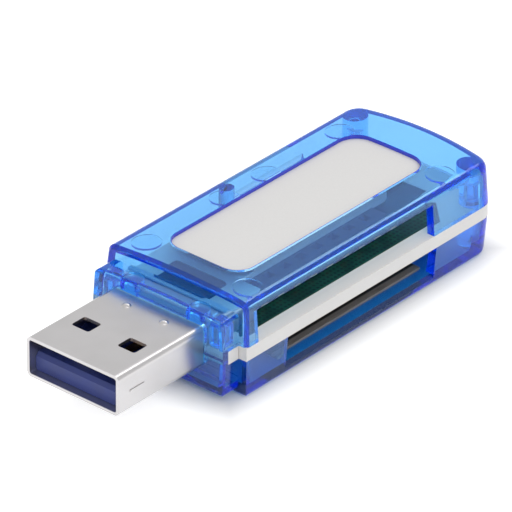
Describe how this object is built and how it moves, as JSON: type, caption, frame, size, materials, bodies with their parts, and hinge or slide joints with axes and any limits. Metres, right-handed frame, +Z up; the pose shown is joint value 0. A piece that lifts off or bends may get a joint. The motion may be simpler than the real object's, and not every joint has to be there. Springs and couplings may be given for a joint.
{
  "type": "usb memory card reader",
  "caption": "Stick card reader with a USB-A plug, clear blue shells over a white frame and board, long card slots on one side and small card slots on the other.",
  "frame": {"origin": "middle of the overall length and width, on the flat underside", "axes": "+Z up, the plug points along -X, the long card slots face -Y"},
  "size_m": [0.0548, 0.019, 0.0111],
  "materials": {
    "clear_blue": "clear blue moulded plastic, glossy",
    "clear_blue_lower": "clear blue moulded plastic, glossy",
    "white_plastic": "white moulded plastic, satin",
    "label_white": "plain white film, satin",
    "board_green": "green solder mask",
    "plug_steel": "nickel-plated steel, satin",
    "insulator_blue": "blue moulded plastic",
    "contact_gold": "gold-flashed spring bronze",
    "black_plastic": "black moulded plastic",
    "cover_steel": "nickel-plated steel sheet",
    "chip_black": "black moulding compound",
    "led_clear": "clear resin",
    "capacitor_tan": "ceramic"
  },
  "bodies": {
    "root": {"upper_shell": "clear_blue", "lower_shell": "clear_blue_lower", "middle_frame": "white_plastic", "top_label": "label_white", "circuit_board": "board_green", "usb_plug_shell": "plug_steel", "usb_insulator": "insulator_blue", "usb_contacts": "contact_gold", "sd_contact_bar": "black_plastic", "sd_contacts": "contact_gold", "ms_contact_bar": "black_plastic", "ms_contacts": "contact_gold", "microsd_contact_bar": "black_plastic", "microsd_contacts": "contact_gold", "microsd_cover": "white_plastic", "m2_contact_bar": "black_plastic", "m2_contacts": "contact_gold", "m2_cover": "cover_steel", "controller_chip": "chip_black", "crystal": "cover_steel", "voltage_regulator": "chip_black", "status_led": "led_clear", "capacitors": "capacitor_tan", "resistors": "chip_black"}
  },
  "joints": []
}
